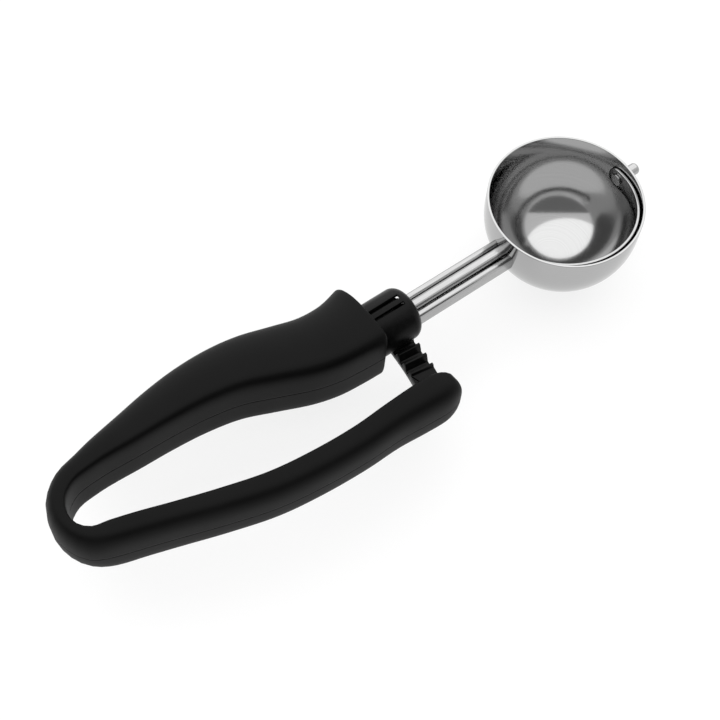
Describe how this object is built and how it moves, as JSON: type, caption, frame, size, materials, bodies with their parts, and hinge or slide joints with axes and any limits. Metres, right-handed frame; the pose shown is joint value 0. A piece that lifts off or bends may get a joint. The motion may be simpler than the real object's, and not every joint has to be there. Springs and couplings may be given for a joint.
{
  "type": "squeeze-handle ice cream scoop",
  "caption": "Portion scoop with a half-round steel bowl, a sweeping release blade, a channelled neck and a springy black loop handle that drives the blade through a rack and pinion.",
  "frame": {"origin": "centre of the bowl's mouth, in the plane of its rim", "axes": "+Z out of the bowl's mouth, +X along the neck from the handle to the bowl, +Y from the lever to the grip"},
  "size_m": [0.2359, 0.0654, 0.0405],
  "materials": {
    "polished_steel": "polished stainless steel",
    "soft_black": "matte soft-touch elastomer",
    "core_nylon": "moulded black nylon",
    "gear_nylon": "satin black acetal",
    "spring_steel": "rolled spring steel",
    "bronze": "sintered bronze",
    "washer_white": "low-friction plastic"
  },
  "bodies": {
    "frame": {"grip_cover": "soft_black", "grip_core": "core_nylon", "butt_cover": "soft_black", "spring_bow": "spring_steel", "neck_channel": "polished_steel", "tang_rivets": "polished_steel", "bowl": "polished_steel", "pivot_rivet": "polished_steel", "rod_bush": "bronze", "thrust_washer": "washer_white", "pinion_guard": "gear_nylon"},
    "lever": {"lever_cover": "soft_black", "lever_core": "core_nylon", "rack": "gear_nylon", "rack_pins": "spring_steel"},
    "sweep": {"blade": "polished_steel", "blade_rod": "polished_steel", "rod_clip": "spring_steel", "pinion": "gear_nylon", "pinion_pin": "spring_steel"}
  },
  "joints": [
    {"name": "lever_squeeze", "type": "hinge", "parent": "frame", "child": "lever", "pos_m": [-0.193, 0, -0.0076], "axis": [0, 0, 1], "range_deg": [0, 7.4], "stiffness_Nm_per_rad": 6, "springref_deg": -2.86, "deforming": ["spring_bow"]},
    {"name": "blade_sweep", "type": "hinge", "parent": "frame", "child": "sweep", "pos_m": [0, 0, -0.0076], "axis": [1, 0, 0], "range_deg": [0, 150.2]}
  ],
  "couplings": [
    {"joint": "blade_sweep", "follows": "lever_squeeze", "ratio": 20.297}
  ]
}
